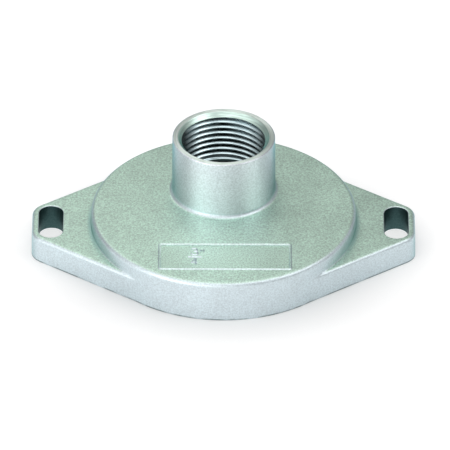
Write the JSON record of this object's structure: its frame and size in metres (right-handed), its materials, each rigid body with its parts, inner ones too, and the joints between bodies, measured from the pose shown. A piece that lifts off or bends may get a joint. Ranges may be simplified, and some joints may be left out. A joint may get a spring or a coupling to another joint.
{
  "type": "bolt-on conduit hub",
  "caption": "Die-cast bolt-on conduit hub: a slotted eared flange, a low round boss and an off-centre collar tapped for threaded conduit.",
  "frame": {"origin": "centre of the round boss on the flat mounting face", "axes": "+X through the two slots along the flange, +Y from the boss centre towards the collar, +Z out of the mounting face along the collar"},
  "size_m": [0.11, 0.0762, 0.0303],
  "materials": {
    "cast_metal": "as cast, shot-blasted to a fine even grain; the thread, mouth and rim bright machined"
  },
  "bodies": {
    "root": {"hub_body": "cast_metal"}
  },
  "joints": []
}
